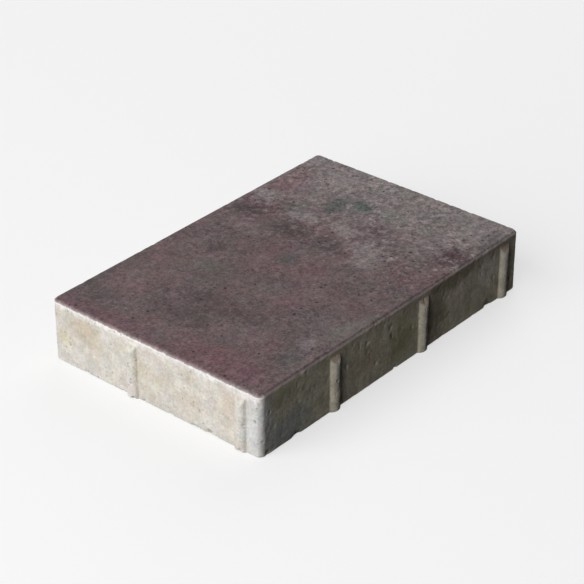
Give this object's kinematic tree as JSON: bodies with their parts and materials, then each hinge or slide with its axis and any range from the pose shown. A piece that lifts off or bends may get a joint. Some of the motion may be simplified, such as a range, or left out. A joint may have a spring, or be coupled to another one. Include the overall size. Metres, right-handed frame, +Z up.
{
  "type": "concrete paving stone",
  "caption": "Rectangular pressed concrete paving stone with a finely bevelled wearing face, rounded upright corners and half-round spacer nibs on its sides, laid flat in jointed paving.",
  "frame": {"origin": "centre of the bed face that the stone lies on", "axes": "+Z up through the thickness to the wearing face, +X along the length, +Y along the width"},
  "size_m": [0.302, 0.202, 0.05],
  "materials": {
    "concrete": "matt pressed concrete, dusky red and grey colour-blended wearing face, pale buff sides"
  },
  "bodies": {
    "root": {"paving_stone": "concrete"}
  },
  "joints": []
}
